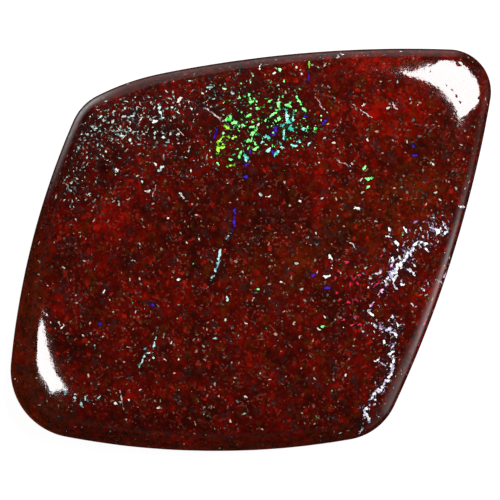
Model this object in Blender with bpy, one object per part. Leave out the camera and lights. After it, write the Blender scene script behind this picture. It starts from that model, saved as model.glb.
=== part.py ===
"""A freeform boulder opal: one slab of opal-flecked ironstone with a polished, gently domed face,
a rounded rim and a flat ground back. It lies on its back. X runs along its length, Y across it and
Z up through the dome. The origin is at the middle of its outline, on the surface it lies on."""

import math
from typing import NamedTuple

import bmesh
import bpy
from mathutils import Vector

MM = 0.001


class Corner(NamedTuple):
    """One rounded corner of the outline, and the bowed side that runs on from it."""

    x: float
    y: float
    radius: float
    bow_radius: float


# The outline from above, counterclockwise, in millimetres. The upper left corner eases into the
# long upper side through a larger arc, the brow.
CORNERS = {
    "upper right": Corner(13.21, 10.55, 2.84, 82.6),
    "brow": Corner(-4.65, 4.60, 7.29, 16.7),
    "upper left": Corner(-8.71, 7.25, 3.42, 54.1),
    "lower left": Corner(-11.50, -8.02, 4.55, 53.2),
    "lower right": Corner(5.95, -8.70, 4.02, 80.6),
}

# Heights of the section, from the resting surface up.
BEVEL_HEIGHT = 0.70 * MM
GIRDLE_HEIGHT = 1.30 * MM
SHOULDER_RISE = 1.75 * MM
DOME_RISE = 1.55 * MM
CROWN_RISE = 0.35 * MM

# Widths of the section, measured inwards from the outline.
BACK_INSET = 0.90 * MM
GIRDLE_TUCK = 0.14 * MM
SHOULDER_WIDTH_TIGHT = 0.85 * MM
SHOULDER_WIDTH_BROAD = 1.90 * MM
TIGHT_DIRECTION = math.radians(41)

DOME_POWER = 4.5
CENTRE = Vector((-0.2 * MM, 0.0))
NEAR_CENTRE = 0.01 * MM


class Droop(NamedTuple):
    """A way in which the face is polished down: its direction, the distance from the centre at which
    the fall starts, and the rate at which it grows from there."""

    direction: float
    start: float
    rate: float


DROOPS = (
    Droop(math.radians(47), 15.1 * MM, 0.020 / MM),
    Droop(math.radians(222), 11.7 * MM, 0.027 / MM),
)

OUTLINE_POINTS = 132
ARC_STEPS = 48
SHOULDER_STEPS = 6
DOME_STEPS = 9
TUCK_STEPS = 2


def side_centre(start, end):
    """The centre of the bowed side that leaves one corner's arc and meets the next without a kink."""
    first, last = Vector((start.x, start.y)), Vector((end.x, end.y))
    reach_first, reach_last = start.bow_radius - start.radius, start.bow_radius - end.radius
    along = last - first
    foot = (along.length_squared + reach_first**2 - reach_last**2) / (2 * along.length)
    height = math.sqrt(reach_first**2 - foot**2)
    direction = along.normalized()
    return first + direction * foot + Vector((-direction.y, direction.x)) * height


def arc(centre, radius, start_angle, end_angle):
    """Points of a counterclockwise arc, without its last one."""
    sweep = (end_angle - start_angle) % (2 * math.pi)
    angles = [start_angle + sweep * i / ARC_STEPS for i in range(ARC_STEPS)]
    return [Vector((centre[0] + radius * math.cos(a), centre[1] + radius * math.sin(a))) for a in angles]


def angle_of(vector):
    return math.atan2(vector.y, vector.x)


def fine_outline():
    """The closed outline as many short steps, in metres."""
    corners = list(CORNERS.values())
    sides = [side_centre(c, corners[(i + 1) % len(corners)]) for i, c in enumerate(corners)]
    points = []
    for i, corner in enumerate(corners):
        middle = Vector((corner.x, corner.y))
        following = corners[(i + 1) % len(corners)]
        arrives = angle_of(middle - sides[i - 1])
        leaves = angle_of(middle - sides[i])
        next_arrives = angle_of(Vector((following.x, following.y)) - sides[i])
        points += arc(middle, corner.radius, arrives, leaves)
        points += arc(sides[i], corner.bow_radius, leaves, next_arrives)
    return [p * MM for p in points]


def evenly_spaced(points, count):
    """Count points at equal steps along a closed line, each with its inward direction."""
    lengths = [0.0]
    for a, b in zip(points, points[1:] + points[:1]):
        lengths.append(lengths[-1] + (b - a).length)
    closed = points + points[:1]
    spaced = []
    segment = 0
    for k in range(count):
        at = lengths[-1] * k / count
        while lengths[segment + 1] <= at:
            segment += 1
        share = (at - lengths[segment]) / (lengths[segment + 1] - lengths[segment])
        spaced.append(closed[segment].lerp(closed[segment + 1], share))
    inward = []
    for k, point in enumerate(spaced):
        along = (spaced[(k + 1) % count] - spaced[k - 1]).normalized()
        inward.append(Vector((-along.y, along.x)))
    return list(zip(spaced, inward))


def rim_distance(outline, direction):
    """How far the outline lies from the stone's centre in a direction."""
    for a, b in zip(outline, outline[1:] + outline[:1]):
        a, b = a - CENTRE, b - CENTRE
        across_a, across_b = direction.cross(a), direction.cross(b)
        if across_a <= 0 < across_b:
            crossing = a.lerp(b, across_a / (across_a - across_b))
            if crossing.dot(direction) > 0:
                return crossing.length
    raise ValueError("the centre lies outside the outline")


def dome_height(outline, point):
    """The rise of the face above its shoulder: flat in the middle, rolling off towards the rim."""
    offset = point - CENTRE
    if offset.length < NEAR_CENTRE:
        return DOME_RISE + CROWN_RISE
    share = offset.length / rim_distance(outline, offset.normalized())
    return DOME_RISE * (1 - share**DOME_POWER) + CROWN_RISE * (1 - share**2)


def corner_droop(point):
    """How far the face falls away, ever faster, towards the two corners that are polished down."""
    fall = 0.0
    for droop in DROOPS:
        outwards = Vector((math.cos(droop.direction), math.sin(droop.direction)))
        reach = (point - CENTRE).dot(outwards)
        fall += droop.rate * max(0.0, reach - droop.start) ** 2
    return fall


def shoulder_width(point):
    """The rounded shoulder is tight at the upper right and broad at the lower left."""
    turn = angle_of(point - CENTRE) - TIGHT_DIRECTION
    broad = 0.5 - 0.5 * math.cos(turn)
    return SHOULDER_WIDTH_TIGHT + (SHOULDER_WIDTH_BROAD - SHOULDER_WIDTH_TIGHT) * broad


def section_rings(outline, rim):
    """Closed rings of points from the edge of the flat back, up round the rim and over the face."""
    rings = [[(p + n * BACK_INSET).to_3d() for p, n in rim]]
    for i in range(TUCK_STEPS):
        turn = math.radians(90) * (1 - i / TUCK_STEPS)
        inset = GIRDLE_TUCK * (1 - math.cos(turn))
        height = GIRDLE_HEIGHT - (GIRDLE_HEIGHT - BEVEL_HEIGHT) * math.sin(turn)
        rings.append([(p + n * inset).to_3d() + Vector((0, 0, height)) for p, n in rim])
    for i in range(SHOULDER_STEPS + 1):
        turn = math.radians(90) * i / SHOULDER_STEPS
        ring = []
        for p, n in rim:
            at = p + n * (shoulder_width(p) * (1 - math.cos(turn)))
            rise = (SHOULDER_RISE - corner_droop(at)) * math.sin(turn)
            height = GIRDLE_HEIGHT + rise + dome_height(outline, at)
            ring.append(at.to_3d() + Vector((0, 0, height)))
        rings.append(ring)
    shoulder_top = [v.to_2d() for v in rings[-1]]
    for i in range(1, DOME_STEPS):
        share = 1 - i / DOME_STEPS
        ring = []
        for p in shoulder_top:
            at = CENTRE.lerp(p, share)
            height = GIRDLE_HEIGHT + SHOULDER_RISE - corner_droop(at) + dome_height(outline, at)
            ring.append(at.to_3d() + Vector((0, 0, height)))
        rings.append(ring)
    return rings


def stone_mesh():
    """The whole stone as one closed skin: flat back, bevel, girdle, shoulder and domed face."""
    outline = fine_outline()
    rings = section_rings(outline, evenly_spaced(outline, OUTLINE_POINTS))
    skin = bmesh.new()
    loops = [[skin.verts.new(point) for point in ring] for ring in rings]
    for lower, upper in zip(loops, loops[1:]):
        for k in range(OUTLINE_POINTS):
            skin.faces.new((lower[k - 1], lower[k], upper[k], upper[k - 1]))
    top_height = GIRDLE_HEIGHT + SHOULDER_RISE + DOME_RISE + CROWN_RISE
    summit = skin.verts.new(CENTRE.to_3d() + Vector((0, 0, top_height)))
    for k in range(OUTLINE_POINTS):
        skin.faces.new((loops[-1][k - 1], loops[-1][k], summit))
    skin.faces.new(list(reversed(loops[0])))
    bmesh.ops.recalc_face_normals(skin, faces=skin.faces)
    mesh = bpy.data.meshes.new("opal_stone")
    skin.to_mesh(mesh)
    skin.free()
    return mesh


def stone_material():
    """Polished dark red brown ironstone."""
    material = bpy.data.materials.new("opal_matrix")
    material.use_nodes = True
    shader = material.node_tree.nodes["Principled BSDF"]
    shader.inputs["Base Color"].default_value = (0.085, 0.009, 0.004, 1)
    shader.inputs["Roughness"].default_value = 0.12
    shader.inputs["Metallic"].default_value = 0.0
    return material


def add_stone():
    mesh = stone_mesh()
    mesh.shade_smooth()
    mesh.set_sharp_from_angle(angle=math.radians(35))
    mesh.materials.append(stone_material())
    stone = bpy.data.objects.new("opal_stone", mesh)
    bpy.context.scene.collection.objects.link(stone)
    return stone


for old in list(bpy.data.objects):
    bpy.data.objects.remove(old)
add_stone()
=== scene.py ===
"""Looks of a polished boulder opal: dark red ironstone full of opal flecks, on its ground back.

Lengths in this script are millimetres, in the frame of the CAD model, until a mesh or a light is made.
"""

import math
import random
from typing import NamedTuple

import bpy
import numpy as np
from mathutils import Matrix, Vector, noise
from mathutils.geometry import delaunay_2d_cdt


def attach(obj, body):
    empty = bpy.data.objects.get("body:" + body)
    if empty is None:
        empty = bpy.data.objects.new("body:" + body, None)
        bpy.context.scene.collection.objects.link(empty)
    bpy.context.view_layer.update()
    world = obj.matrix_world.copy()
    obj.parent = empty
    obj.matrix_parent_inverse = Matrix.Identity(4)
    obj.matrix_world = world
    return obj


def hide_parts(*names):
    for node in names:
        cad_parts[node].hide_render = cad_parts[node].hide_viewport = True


MM = 0.001


class Corner(NamedTuple):
    """One rounded corner of the outline, and the bowed side that runs on from it."""

    x: float
    y: float
    radius: float
    bow_radius: float


# The stone's driving dimensions, as in the CAD model
CORNERS = {
    "upper right": Corner(13.21, 10.55, 2.84, 82.6),
    "brow": Corner(-4.65, 4.60, 7.29, 16.7),
    "upper left": Corner(-8.71, 7.25, 3.42, 54.1),
    "lower left": Corner(-11.50, -8.02, 4.55, 53.2),
    "lower right": Corner(5.95, -8.70, 4.02, 80.6),
}
CENTRE = np.array((-0.2, 0.0))
BEVEL_HEIGHT = 0.70
GIRDLE_HEIGHT = 1.30
SHOULDER_RISE = 1.75
DOME_RISE = 1.55
CROWN_RISE = 0.35
BACK_INSET = 0.90
GIRDLE_TUCK = 0.14
SHOULDER_WIDTH_TIGHT = 0.85
SHOULDER_WIDTH_BROAD = 1.90
TIGHT_DIRECTION = math.radians(41)
DOME_POWER = 4.5

# Where the face is polished down: a direction, the distance from the centre at which the fall starts,
# and the rate at which it grows from there
DROOPS = (
    (math.radians(47), 15.1, 0.020),
    (math.radians(222), 11.7, 0.027),
)

# How finely the skin is divided. The gap is left free inside a ring, as a share of the spacing.
RIM_POINTS = 620
ARC_STEPS = 64
EDGE_ROUNDING = 0.16
EDGE_STEPS = 3
BEVEL_STEPS = 4
GIRDLE_STEPS = 5
SHOULDER_STEPS = 15
FACE_SPACING = 0.122
BACK_SPACING = 0.21
RING_GAP = 0.7
SAME_POINT = 1e-7

# Hand-polished relief of the face. The rim has only a share of the swells, and a pit is flat up to a
# share of its radius.
SWELL_DEPTH = 0.030
SWELL_LENGTH = 6.5
RIM_SWELL = 0.35
RIPPLE_DEPTH = 0.0035
RIPPLE_LENGTH = 1.3
PIT_COUNT = 90
PIT_SEED = 11
PIT_REACH = np.array((15.5, 13.0))
PIT_RADIUS = (0.10, 0.26)
PIT_DEPTH = (0.010, 0.035)
PIT_FLOOR = 0.3

# Relief of the ground back: wavering saw lines, and natural hollows that the grinding didn't reach
SAW_PITCH = 0.55
SAW_DEPTH = 0.012
SAW_CENTRE = np.array((-70.0, -45.0))
SAW_WAVER = 3.0
SAW_WAVER_LENGTH = 5.0
HOLLOW_DEPTH = 0.22
HOLLOW_LENGTH = 3.4
HOLLOW_PULL = 0.55
HOLLOW_EDGE = (0.42, 0.62)
HOLLOW_LUMPS = 0.4
HOLLOW_LUMP_LENGTH = 0.8

# Which points belong to the back, by their height and by how far their normals face down, where the
# ground surface ends, and which normals face up
BACK_HEIGHT = 0.02
DOWN_FACING = (0.9, 0.999)
GROUND_EDGE = (BEVEL_HEIGHT - 0.05, BEVEL_HEIGHT + 0.25)
UP_FACING = (0.0, 0.35)

# Where the pattern changes towards the rim, as shares of the way from the centre to the outline: the
# opal stops, and towards the lower left the ironstone is calm, with fewer flecks, and its tone is raised,
# which is painted light that makes up for the shade of its steep rim, and its lowest edge is painted
# orange, a painted glow of light through the thin rim. The spreads say how far round the rim that goes,
# as cosines of the angle from the direction.
OPAL_EDGE = (0.91, 0.97)
CALM_EDGE = (0.84, 0.97)
CALM_DIRECTION = math.radians(236)
CALM_SPREAD = (0.1, 0.7)
RIM_GLOW_SPREAD = (0.3, 0.8)
RIM_GLOW_TOP = 1.75

# The photograph's scale and the stone's middle in it, for what is placed by pixel
PHOTO_SIZE = 500
PIXEL = 32.0 / 479.0
MIDDLE_PIXEL = np.array((250.8, 249.8))

# How a mark's written half length and half width become real ones, and the softness and raggedness of
# its edge. A mark is full above a height, and fades towards the girdle by being read this far away.
MARK_LENGTH = 1.08 * PIXEL
MARK_WIDTH = 0.78 * PIXEL
MARK_EDGE = 0.22
MARK_RAGGED = 3.8
MARK_HALO = (2.7, 1.1)
MARKS_FULL = 2.1
MARKS_FADE = 4.0

# Pits that show in the upper right highlight: a pixel place, a radius and a depth
PLACED_PITS = (
    (427.0, 73.5, 0.17, 0.016),
    (443.0, 78.5, 0.15, 0.011),
    (438.0, 84.5, 0.15, 0.011),
    (442.5, 88.5, 0.17, 0.014),
    (448.0, 93.0, 0.18, 0.016),
    (457.5, 65.0, 0.19, 0.018),
    (452.0, 99.0, 0.20, 0.018),
    (456.0, 105.0, 0.18, 0.016),
    (462.0, 113.0, 0.18, 0.014),
)

# Soft-edged zones of the face. Each ellipse is a pixel place, two reaches in pixels, a turn in degrees
# counterclockwise, and a strength.
ZONE_FALLOFF = 0.7
ZONES = {
    "cool": (
        (98, 128, 38, 26, 10, 0.9), (76, 178, 15, 32, 0, 0.75), (150, 118, 38, 24, 0, 0.8),
        (208, 104, 40, 16, 5, 0.7), (172, 158, 44, 20, 0, 0.55), (68, 272, 14, 24, 0, 0.35),
        (118, 190, 40, 20, 0, 0.42), (266, 292, 40, 12, -12, 0.35), (345, 150, 14, 30, 30, 0.25),
        (100, 392, 30, 8, -10, 0.40), (84, 402, 14, 10, 0, 0.40), (330, 268, 22, 16, 0, 0.35),
        (240, 82, 30, 10, 4, 0.45),
    ),
    "green": (
        (248, 122, 34, 32, 0, 0.75), (288, 120, 24, 28, 0, 0.6), (232, 150, 14, 14, 0, 0.5),
        (312, 132, 12, 14, 0, 0.35),
    ),
    "lavender": (
        (405, 252, 34, 9, 46, 0.9), (405, 250, 34, 20, 42, 0.35), (438, 230, 14, 12, 0, 0.7),
        (378, 296, 14, 22, -30, 0.5), (382, 328, 18, 9, 0, 0.9), (390, 360, 7, 26, -6, 0.9),
        (370, 404, 10, 22, -30, 0.9),
    ),
    "magenta": (
        (352, 290, 16, 22, 0, 0.8), (415, 300, 14, 16, 0, 0.3), (365, 268, 14, 14, 0, 0.5),
    ),
    "red": (
        (378, 118, 22, 34, -15, 0.9), (362, 66, 34, 12, 0, 0.6), (315, 175, 34, 26, 30, 0.4),
        (110, 222, 36, 20, 0, 0.5), (95, 230, 20, 22, 0, 0.3), (255, 360, 16, 12, 0, 0.6),
        (302, 330, 14, 14, 0, 0.4), (170, 380, 30, 12, 0, 0.3), (415, 300, 14, 18, 0, 0.6),
        (436, 292, 8, 50, -20, 0.5), (120, 300, 60, 30, 0, 0.25), (420, 120, 14, 14, 0, 0.4),
    ),
    "dark": (
        (208, 228, 20, 22, 0, 0.7), (266, 225, 16, 12, 0, 0.5), (60, 420, 44, 16, -30, 0.3),
        (200, 370, 20, 10, 0, 0.5), (230, 418, 170, 12, -3, 0.3), (300, 385, 26, 14, 0, 0.4),
        (245, 350, 26, 10, 0, 0.3), (80, 265, 26, 22, 0, 0.4), (350, 178, 18, 12, 0, 0.4),
        (272, 178, 18, 12, 0, 0.4), (232, 92, 24, 10, 0, 0.5), (410, 150, 14, 10, 0, 0.4),
        (262, 306, 18, 12, 0, 0.4), (330, 300, 22, 14, 0, 0.4),
    ),
    "brown": (
        (420, 180, 40, 46, 0, 0.6), (350, 230, 60, 40, 0, 0.5), (270, 270, 50, 30, 0, 0.5),
        (34, 300, 14, 70, 8, 0.8), (40, 400, 26, 30, 0, 0.9), (150, 145, 30, 20, 0, 0.3),
    ),
}

# The same for the back: where its hollows gather, in the places where they would show through the stone
BACK_HOLLOWS = (
    (150, 180, 60, 40, 20, 1.0),
    (330, 330, 70, 34, -30, 0.9),
    (380, 130, 40, 30, 0, 0.7),
)

# Marks of the face that are placed one by one: a pixel place, half its length and half its width in
# pixels, and its turn in degrees counterclockwise
BLUE_MARKS = (
    (275, 132, 2.4, 1.8, 100), (273, 136, 1.8, 1.2, 0), (273, 154, 2.4, 1.6, 100), (247, 166, 2.2, 1.2, 0),
    (250, 155, 2.2, 1.2, 60), (245.5, 178, 2, 2, 0), (323, 124, 3, 1.6, 50), (305, 118, 1.8, 1.3, 0),
    (308, 80, 3.6, 1.2, 75), (235, 212, 3, 1, 88), (234.5, 222, 3.6, 1.5, 90), (233, 230, 2.2, 1.1, 70),
    (410.5, 148, 1.6, 1.2, 0), (413, 157, 1.6, 1.3, 0), (325.5, 287.5, 2.6, 1.6, 0),
    (312, 274.5, 1.8, 1.6, 0), (154, 304, 2, 1.6, 0), (102, 322, 1.6, 1.4, 0), (216, 136, 3.6, 1.5, 70),
)
GREEN_MARKS = (
    (250, 100, 3.6, 1.4, 100), (251, 106, 2.6, 1.4, 60), (258, 111, 2, 1.8, 0), (229, 121, 2.6, 2, 30),
    (235, 125, 2.2, 2, 0), (243, 128, 1.8, 1.8, 0), (251, 129, 1.8, 1.6, 0), (253, 136, 3.6, 1.9, 70),
    (249, 143, 2.8, 1.9, 40), (254, 144, 2.4, 1.4, 120), (248, 151, 2, 1.2, 60), (256, 150, 2, 1.3, 30),
    (278, 108, 3.6, 1.9, 115), (288, 108, 2.6, 1.5, -30), (272, 117, 3.8, 1.6, 40),
    (278, 121, 2.4, 1.7, 20), (297, 100, 3.2, 1.5, 110), (299, 105, 2.4, 1.5, 140),
    (303, 112, 3.2, 1.7, 125), (241, 156, 3.6, 1.6, 55), (314, 131, 2.2, 1.6, 60),
    (266, 122, 1.8, 1.2, 50), (249, 118, 2.4, 1, 40), (270, 103, 1.8, 1, 50), (232, 161, 2.4, 1.2, 20),
    (362, 169.5, 1.7, 1.7, 0), (366, 180, 2.8, 2, 30), (366, 188, 1.4, 1.2, 0), (258, 288, 1.7, 1.2, 30),
    (322, 325, 1.4, 1, 0), (295, 114, 1.5, 1, 80), (218, 166, 1.8, 0.9, 120),
)
LIME_MARKS = (
    (227, 130, 2.6, 1.8, -20), (220, 143, 3.8, 1.4, 58), (218, 152, 3, 2.3, 70), (223, 149, 2.2, 1.4, 70),
    (232, 167, 2.8, 1.2, 10), (229, 139, 1.6, 1.4, 0), (234, 140, 1.8, 1.3, 40), (308.5, 67, 3.4, 1, 82),
)
TURQUOISE_MARKS = (
    (286, 116, 4.2, 1.9, 105), (288, 123, 4, 1.6, 120), (291, 131, 3.4, 1.8, 130), (282, 128, 1.7, 1.6, 0),
    (292, 121, 3, 1.4, 75), (267, 139, 3, 1.8, 150), (283, 137, 3.4, 1.1, 95), (280, 146, 3, 1.3, 110),
    (268, 152, 2.6, 1.2, 45), (299, 143, 1.8, 1.2, -40), (293, 148, 2.3, 1.9, 0), (262, 145, 1.6, 1.3, 0),
    (308, 146, 2.2, 1.2, 55), (303, 131, 1.6, 1.6, 0), (246, 159, 2.6, 2.2, 90), (276, 155, 2.6, 1.3, 60),
)
CYAN_MARKS = (
    (229, 237, 2.8, 1.1, 55), (220, 254, 3.4, 1.2, 88), (219, 261, 3.6, 2, 86), (217, 268, 3.2, 1.5, 72),
    (214, 276, 2.6, 0.9, 62), (227.5, 297.5, 1.9, 1.1, 65), (146, 355, 2, 1.4, 70), (143, 361, 2.4, 1, 65),
    (156, 343, 5.4, 0.8, 76), (147, 347, 1.8, 1.2, 80), (155, 356, 1.2, 1, 0), (215, 337, 1.8, 1, 0),
    (68, 390, 2, 1.7, 90),
)
MINT_MARKS = (
    (161, 110, 2.4, 1.5, 115), (162.5, 116, 2.6, 1.5, 100), (163, 121, 1.7, 1.3, 0),
    (169, 143, 2, 1.4, -30), (163, 170, 4.4, 1.1, 45), (134, 117, 4.2, 1.1, 32), (110, 113, 2, 1.1, 70),
    (98, 130, 3.2, 1, 25), (81, 149, 3.2, 1.3, 80), (103, 118, 2.6, 0.9, 30), (211, 90, 2.4, 1.2, 0),
    (232, 95, 2.2, 1.2, 0), (122, 137, 4.4, 0.9, -12), (84, 403, 2.2, 1.2, -60), (89, 397, 2, 0.9, -70),
    (101, 395, 1.8, 0.7, 40), (76, 396, 1.5, 0.8, -40), (64, 124, 2, 1.2, 40), (118, 172, 2.4, 1.3, -50),
    (72, 191, 2.2, 1.2, -40),
)
PALE_MARKS = (
    (444, 232, 4, 1.6, 50), (432, 229, 3.2, 1.5, -30), (436, 232, 3, 1.1, 50), (442, 226, 3.4, 1.2, -70),
    (421, 243, 3.4, 1.8, -25), (413, 244, 3, 1.4, 45), (425, 250, 2.4, 1.3, -40), (409, 251, 4.2, 2.2, 62),
    (404, 257, 4.2, 1.9, 62), (398, 258, 2.6, 1.4, -60), (397, 265, 4.4, 3.2, 40), (390, 273, 5, 3.4, 48),
    (392, 277, 3, 2.2, 60), (384, 282, 2.4, 1.3, -60), (390, 259, 3.4, 1.3, 88), (386, 237, 3.4, 1.3, 0),
    (394, 243, 2.4, 1.5, -50), (387, 229, 2.4, 1.4, -50), (402, 230, 1.8, 1.3, -60),
    (393, 286, 3.6, 1, -55), (409, 271, 3.4, 1.6, -40), (399, 284, 2, 1.6, -20), (368, 312, 3.4, 1.6, -50),
    (374, 324, 3.2, 1.6, -10), (381, 326, 3.6, 2, -10), (388, 329, 3.8, 2.2, -20), (393, 333, 3, 1.5, -60),
    (391, 316, 1.8, 1.4, 70), (395, 323, 4.2, 1, -50), (382, 342, 1.8, 1.2, 70), (390, 346, 3.2, 1.4, 60),
    (388, 352, 2.8, 1.7, 30), (391, 359, 3.2, 1.6, 90), (390, 366, 4.6, 2, 86), (388, 374, 4.4, 2.1, 68),
    (383, 381, 4.6, 1.8, 45), (377, 388, 4.8, 2.2, 40), (371, 395, 3.8, 1.7, 50), (373, 398, 1.8, 1.4, 0),
    (364, 407, 2.4, 1.7, 60), (365, 412, 3, 2.2, 90), (367, 417, 3.2, 1.8, 110), (360, 429, 2.6, 1.6, 60),
    (376, 358, 3, 0.8, 30), (380, 362, 3.6, 0.8, -30), (411, 304, 2.2, 1, -30), (421, 289, 2, 1.1, -35),
)
MAGENTA_MARKS = (
    (424, 321, 2.6, 1.4, 62), (418, 344, 1.8, 1, 62), (411, 363, 1.8, 1.2, 62), (352, 278, 2, 1.3, 30),
    (358, 275, 1.8, 1.2, 0), (374, 284, 3, 1.3, 50), (354, 299, 1.8, 1.4, 0), (347, 302, 1.7, 1.4, 40),
    (344, 262, 1.8, 1.2, 30), (341, 319, 1.8, 1.3, 40), (351, 323, 1.5, 1, 0), (330, 262, 1.4, 1, 0),
)
PINK_MARKS = (
    (379, 291, 3, 1.4, 55), (383, 285, 2.4, 1.2, 55), (370, 304, 3.4, 1.5, 62), (380, 325, 2.4, 1.2, -20),
    (389, 266, 2, 1.2, 60), (444, 275, 3, 1, 66),
)
WHITE_DOTS = (
    (362, 107, 1.6, 1.2, 30), (385.5, 110.5, 1.4, 1.2, 0), (433, 193, 1.8, 1.1, 35),
    (459.5, 207, 3.4, 1, -3), (337, 58, 2, 0.9, 60), (342, 56, 1.4, 1, 0), (260, 69, 1.8, 0.9, 80),
    (180, 279.5, 1.6, 1.2, 0), (106, 291, 1.5, 1.1, 40), (160, 405, 1.5, 1.2, 0), (118, 401, 1.3, 1.2, 0),
    (355.5, 209.5, 2.4, 1.4, -30), (295.5, 263, 1.5, 1.3, 0), (329, 257, 2.2, 1.1, -50),
    (326, 276, 2.2, 1.6, 20), (268, 197, 2, 1.1, 10), (315, 234, 1.5, 0.9, 80), (66, 325, 2.6, 0.8, 60),
    (63, 323, 1.6, 0.7, -50), (180, 102, 2.4, 1.5, 40), (120, 172, 3, 1.4, -50), (149, 192, 2.4, 1.2, 10),
    (183, 197, 2.4, 1.4, -40), (156, 123, 2, 1.8, 0), (125, 118, 1.6, 1, 0),
)
SCRATCHES = (
    (439, 281.5, 3.6, 1.1, -32), (214, 116, 10.5, 0.8, -35), (218, 119, 4.5, 1.1, -35),
    (181, 134, 5, 0.55, -38), (361, 114, 10, 0.55, -35), (341, 164.5, 5.5, 0.6, -28),
    (124, 398, 7, 0.5, -80), (318, 105, 6.5, 0.5, -55), (156, 192, 4.2, 0.6, 72),
    (351, 245, 3.6, 0.7, -50), (391.5, 107, 3.8, 1.1, -48), (399, 423, 5, 0.6, -35),
)

# Each table's dim and bright colour
MARK_COLOURS = (
    (BLUE_MARKS, (0.014, 0.003, 0.08), (0.044, 0.012, 0.34)),
    (GREEN_MARKS, (0.02, 0.42, 0.05), (0.26, 0.90, 0.24)),
    (LIME_MARKS, (0.10, 0.36, 0.01), (0.36, 0.68, 0.05)),
    (TURQUOISE_MARKS, (0.02, 0.36, 0.26), (0.36, 0.74, 0.66)),
    (CYAN_MARKS, (0.08, 0.18, 0.19), (0.36, 0.56, 0.55)),
    (MINT_MARKS, (0.13, 0.19, 0.18), (0.46, 0.60, 0.55)),
    (PALE_MARKS, (0.30, 0.27, 0.40), (0.72, 0.72, 0.73)),
    (MAGENTA_MARKS, (0.26, 0.006, 0.020), (0.52, 0.020, 0.060)),
    (PINK_MARKS, (0.24, 0.09, 0.22), (0.70, 0.40, 0.56)),
    (WHITE_DOTS, (0.36, 0.30, 0.27), (0.72, 0.70, 0.64)),
    (SCRATCHES, (0.20, 0.11, 0.09), (0.46, 0.36, 0.34)),
)
MARK_SHADE = (0.004, 0.003, 0.004)
MARK_SHADE_SHARE = 0.88
MARK_TINTS = (0.40, 0.56)


class Fleck(NamedTuple):
    """A kind of scattered fleck: the cells that each hold one at most, half its length and width, the
    softness of its edge, how ragged that is, and the seed of its places."""

    cell: float
    half_length: float
    half_width: float
    edge: float
    ragged: float
    seed: int


class Thread(NamedTuple):
    """A kind of thin curved thread: the size of its bends, its width and the seed of its places."""

    size: float
    width: float
    seed: int


class Opal(NamedTuple):
    """A tint of fine opal: its zone, its colours from dim to bright, the dark shade round it, and the
    presence of its threads and flecks where the zone is full. A few flecks may lie outside it."""

    zone: str
    colours: tuple
    shade: tuple
    thread: Thread
    thread_presence: float
    thread_shade: float
    fleck: Fleck
    fleck_presence: float
    fleck_outside: float
    fleck_shade: float


# Flecks of the ironstone, and the lonely flecks and pale dots of opal in it
PORE = Fleck(0.60, 0.17, 0.10, 0.6, 1.6, 1)
FLASH = Fleck(0.75, 0.17, 0.11, 0.8, 2.0, 2)
GRAIN = Fleck(0.37, 0.078, 0.045, 0.40, 1.4, 3)
MAGENTA_FLECK = Fleck(0.50, 0.12, 0.060, 0.4, 1.6, 8)
PALE_DOT = Fleck(1.3, 0.086, 0.056, 0.25, 1.2, 9)
FLECK_SMALLEST = 0.6
FLECK_SPREAD = 0.6
FLECK_HALO = (2.0, 0.9)

OPALS = (
    Opal(
        "cool",
        (
            (0.38, (0.026, 0.028, 0.044)),
            (0.47, (0.090, 0.115, 0.100)),
            (0.54, (0.24, 0.30, 0.26)),
            (0.63, (0.58, 0.65, 0.59)),
        ),
        (0.007, 0.003, 0.003),
        Thread(0.36, 0.036, 1), 0.72, 0.72,
        Fleck(0.40, 0.108, 0.045, 0.25, 2.0, 4), 0.40, 0.016, 0.72,
    ),
    Opal(
        "green",
        (
            (0.39, (0.015, 0.08, 0.05)),
            (0.46, (0.03, 0.40, 0.06)),
            (0.53, (0.14, 0.82, 0.14)),
            (0.61, (0.50, 0.90, 0.46)),
        ),
        (0.004, 0.005, 0.004),
        Thread(0.38, 0.042, 2), 0.74, 0.80,
        Fleck(0.42, 0.100, 0.050, 0.25, 2.2, 6), 0.14, 0.0, 0.75,
    ),
    Opal(
        "lavender",
        (
            (0.38, (0.05, 0.025, 0.08)),
            (0.46, (0.18, 0.11, 0.24)),
            (0.53, (0.38, 0.32, 0.36)),
            (0.62, (0.62, 0.59, 0.58)),
        ),
        (0.007, 0.004, 0.006),
        Thread(0.36, 0.036, 3), 0.85, 0.80,
        Fleck(0.48, 0.12, 0.055, 0.25, 2.2, 7), 0.36, 0.0, 0.75,
    ),
)


class Noise(NamedTuple):
    """A kind of smooth noise: the size of its lumps, its detail and roughness, and how far off it is
    read, so that no two kinds have their lumps in the same places."""

    size: float
    detail: float
    roughness: float = 0.5
    shift: tuple = ()


FINEST = Noise(0.17, 1.0)
PATCHES = Noise(2.3, 3.0, 0.55)
MOTTLES = Noise(0.5, 1.0)
BROWN_PATCHES = Noise(1.7, 2.0)
TINGES = Noise(0.75, 1.0, shift=(13.0, 3.0, 27.0))
SPECKS = Noise(0.175, 0.5, shift=(31.0, 17.0, 5.0))
DRIFT = Noise(1.1, 2.0, shift=(3.0, 23.0, 11.0))
TINTS = Noise(0.42, 1.0, shift=(5.0, 41.0, 9.0))
SPARKLES = Noise(0.20, 0.0, shift=(43.0, 7.0, 19.0))
SOOT_PATCHES = Noise(0.34, 2.0)
GROUND_PATCHES = Noise(3.0, 4.0)
RUST_PATCHES = Noise(0.5, 4.0)
WEAR_PATCHES = Noise(1.1, 3.0)
POLISH_LUMPS = Noise(0.5, 2.0)

# The level of the breaks in a thread, and what its presence adds to it. The edges of a thread and of its
# halo are shares of its width, and the breaks are a share of its bends in size.
THREAD_BREAKS = 0.6
THREAD_GAIN = 0.3
THREAD_LEVEL = (0.76, 0.82)
THREAD_HALO_LEVEL = (0.68, 0.78)
THREAD_EDGE = (1.5, 0.5)
THREAD_HALO = (5.0, 1.5)

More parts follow.
